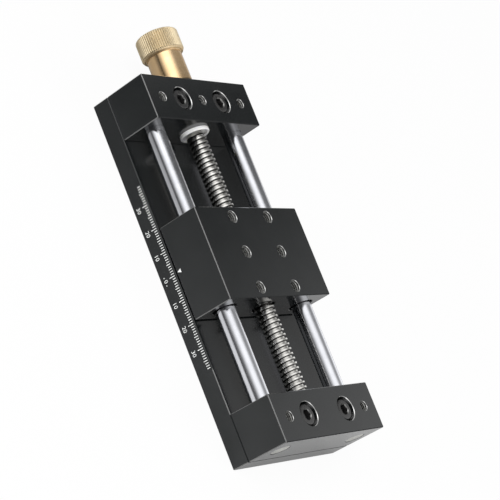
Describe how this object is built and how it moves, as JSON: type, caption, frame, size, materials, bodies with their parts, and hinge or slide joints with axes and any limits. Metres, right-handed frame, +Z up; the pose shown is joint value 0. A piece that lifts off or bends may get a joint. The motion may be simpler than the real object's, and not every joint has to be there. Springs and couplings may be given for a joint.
{
  "type": "translation stage",
  "caption": "Manual linear stage: a black anodised carriage slides on steel rods between end blocks on a plate, moved by a lead screw and a knurled brass knob.",
  "frame": {"origin": "centre of the base plate's underside", "axes": "+X along the travel from the knob towards the far end block, +Y across the plate away from the edge with the scale, +Z up from the base plate to the carriage's top"},
  "size_m": [0.1776, 0.066, 0.0273],
  "materials": {
    "black_anodised": "milled and black anodised, fine satin",
    "hard_chrome": "ground and hard chromed",
    "stainless": "turned stainless steel",
    "black_oxide": "black oxide",
    "brass": "turned, unlacquered",
    "white_plastic": "machined white acetal",
    "bush_steel": "lined steel strip",
    "bronze": "sintered bronze"
  },
  "bodies": {
    "frame": {"base_plate": "black_anodised", "knob_end_block": "black_anodised", "far_end_block": "black_anodised", "front_guide_rod": "hard_chrome", "rear_guide_rod": "hard_chrome", "knob_block_screws": "black_oxide", "far_block_screws": "black_oxide", "knob_block_set_screws": "black_oxide", "far_block_set_screws": "black_oxide", "screw_lock_set_screw": "black_oxide", "inner_flanged_bush": "white_plastic", "outer_flanged_bush": "white_plastic", "far_end_bush": "bronze"},
    "carriage": {"carriage_block": "black_anodised", "front_bush_knob_side": "bush_steel", "front_bush_far_side": "bush_steel", "rear_bush_knob_side": "bush_steel", "rear_bush_far_side": "bush_steel", "lead_nut": "brass", "nut_set_screw": "black_oxide"},
    "screw": {"lead_screw": "stainless", "knob": "brass", "knob_set_screw": "black_oxide"}
  },
  "joints": [
    {"name": "screw_turn", "type": "hinge", "parent": "frame", "child": "screw", "pos_m": [0, 0, 0.0175], "axis": [1, 0, 0], "range_deg": [-6840, 6840]},
    {"name": "carriage_slide", "type": "slide", "parent": "frame", "child": "carriage", "axis": [1, 0, 0], "range_m": [-0.038, 0.038]}
  ],
  "couplings": [
    {"joint": "screw_turn", "follows": "carriage_slide", "rad_per_m": -3141.6}
  ]
}
